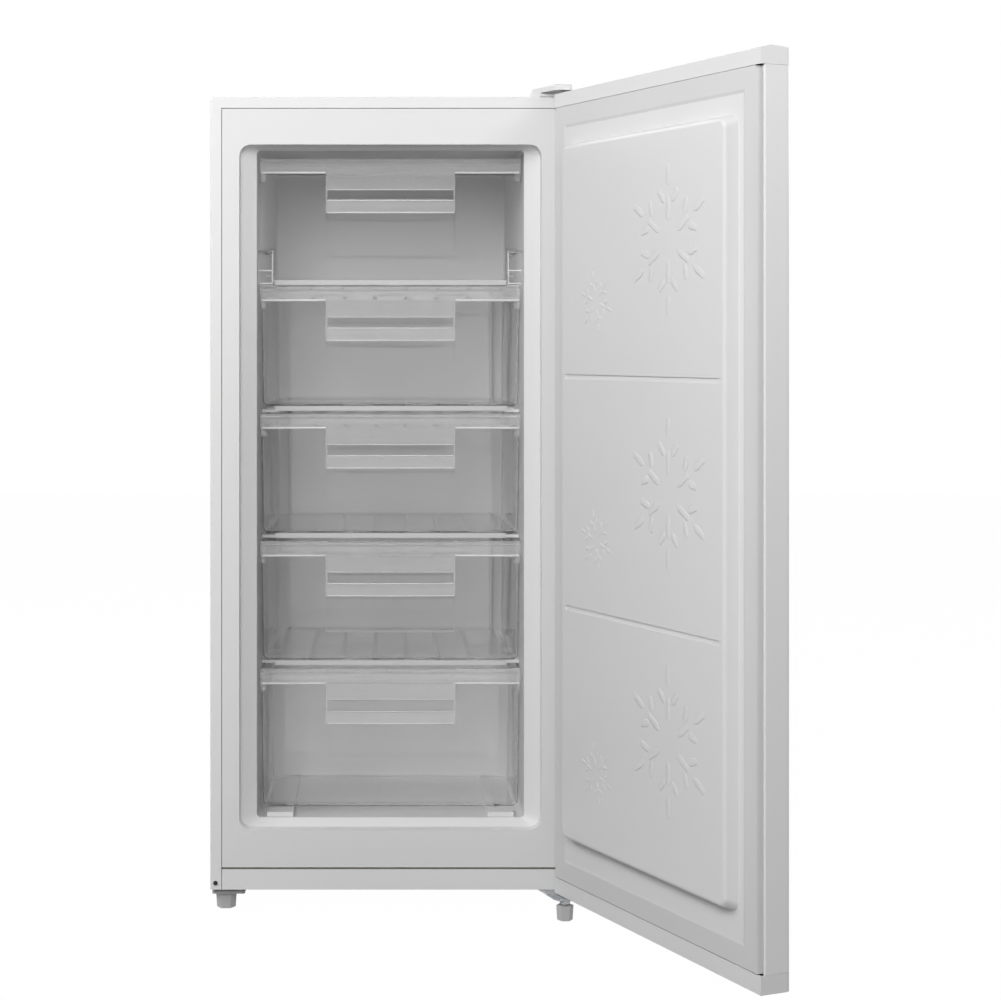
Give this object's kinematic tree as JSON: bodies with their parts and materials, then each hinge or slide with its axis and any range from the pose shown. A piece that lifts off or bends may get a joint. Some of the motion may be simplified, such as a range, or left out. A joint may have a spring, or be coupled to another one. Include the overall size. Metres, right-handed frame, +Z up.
{
  "type": "upright freezer",
  "caption": "White upright freezer with a right-hinged door standing open on clear pull-out drawers, a clear drop-down flap, tube shelves and a rear machine bay",
  "frame": {"origin": "on the floor, under the middle of the whole object as it stands with its door open; the cabinet's own middle plane is at x = -0.12", "axes": "+X across the front to the right as the user faces it, +Y from the user towards the back, +Z up; the cabinet's front frame is the plane y = 0"},
  "size_m": [0.7875, 1.0364, 1.2595],
  "materials": {
    "painted_steel": "satin",
    "white_moulding": "satin",
    "liner_plastic": "satin",
    "clear_plastic": "gloss",
    "trim_plastic": "gloss",
    "seal": "matte",
    "foam": "matte",
    "zinc_steel": "satin",
    "bay_plastic": "satin",
    "black_can": "satin",
    "copper": "satin",
    "mount_rubber": "matte",
    "magnet": "matte",
    "shelf_tube": "satin",
    "foot_plastic": "satin"
  },
  "bodies": {
    "cabinet": {"cabinet_wrap": "painted_steel", "back_panel": "zinc_steel", "base_pan": "zinc_steel", "compressor_tray": "zinc_steel", "front_bottom_rail": "painted_steel", "inner_liner": "liner_plastic", "liner_collar": "liner_plastic", "cabinet_foam": "foam", "top_hinge_bracket": "painted_steel", "top_hinge_pin": "zinc_steel", "top_hinge_cover": "white_moulding", "bottom_hinge_bracket": "zinc_steel", "bottom_hinge_pin": "zinc_steel", "hinge_screws": "zinc_steel", "blanking_plug": "bay_plastic", "foot_socket": "foot_plastic", "foot_nut": "zinc_steel", "rear_feet": "bay_plastic", "bottom_guides": "white_moulding", "flap_frame": "clear_plastic", "condenser_coil": "copper", "compressor": "black_can", "compressor_mounts": "mount_rubber", "compressor_screws": "zinc_steel", "terminal_cover": "bay_plastic", "filter_drier": "copper", "suction_line": "copper", "capillary_tube": "copper", "thermostat_body": "bay_plastic", "mains_inlet": "bay_plastic", "evaporator_shelf_1": "shelf_tube", "evaporator_shelf_2": "shelf_tube", "evaporator_shelf_3": "shelf_tube", "evaporator_shelf_4": "shelf_tube", "evaporator_links": "shelf_tube", "shelf_ledges": "white_moulding"},
    "door": {"door_skin": "painted_steel", "door_top_cap": "white_moulding", "door_bottom_cap": "white_moulding", "door_foam": "foam", "door_liner": "liner_plastic", "door_gasket": "seal", "gasket_magnets": "magnet", "hinge_bushes": "bay_plastic"},
    "foot_left": {"foot_left": "foot_plastic"},
    "foot_right": {"foot_right": "foot_plastic"},
    "flap": {"flap_panel": "clear_plastic", "flap_trim": "trim_plastic"},
    "dial": {"thermostat_knob": "white_moulding"},
    "drawer_1": {"drawer_box_1": "clear_plastic", "drawer_front_1": "trim_plastic"},
    "drawer_2": {"drawer_box_2": "clear_plastic", "drawer_front_2": "trim_plastic"},
    "drawer_3": {"drawer_box_3": "clear_plastic", "drawer_front_3": "trim_plastic"},
    "drawer_4": {"drawer_box_4": "clear_plastic", "drawer_front_4": "trim_plastic"}
  },
  "joints": [
    {"name": "door_hinge", "type": "hinge", "parent": "cabinet", "child": "door", "pos_m": [0.148, -0.02, 0.64], "axis": [0, 0, 1], "range_deg": [-114, 21]},
    {"name": "drawer_1_slide", "type": "slide", "parent": "cabinet", "child": "drawer_1", "axis": [0, -1, 0], "range_m": [0, 0.3]},
    {"name": "drawer_2_slide", "type": "slide", "parent": "cabinet", "child": "drawer_2", "axis": [0, -1, 0], "range_m": [0, 0.3]},
    {"name": "drawer_3_slide", "type": "slide", "parent": "cabinet", "child": "drawer_3", "axis": [0, -1, 0], "range_m": [0, 0.3]},
    {"name": "drawer_4_slide", "type": "slide", "parent": "cabinet", "child": "drawer_4", "axis": [0, -1, 0], "range_m": [0, 0.3]},
    {"name": "flap_hinge", "type": "hinge", "parent": "cabinet", "child": "flap", "pos_m": [-0.12, 0.064, 0.973], "axis": [1, 0, 0], "range_deg": [0, 80]},
    {"name": "foot_left_screw", "type": "hinge", "parent": "cabinet", "child": "foot_left", "pos_m": [-0.373, 0.035, 0.02], "axis": [0, 0, 1], "continuous": true},
    {"name": "foot_right_screw", "type": "hinge", "parent": "cabinet", "child": "foot_right", "pos_m": [0.143, -0.04, 0.02], "axis": [0, 0, 1], "continuous": true},
    {"name": "thermostat_dial", "type": "hinge", "parent": "cabinet", "child": "dial", "pos_m": [-0.35, 0.495, 0.268], "axis": [0, 1, 0], "range_deg": [0, 290]}
  ]
}
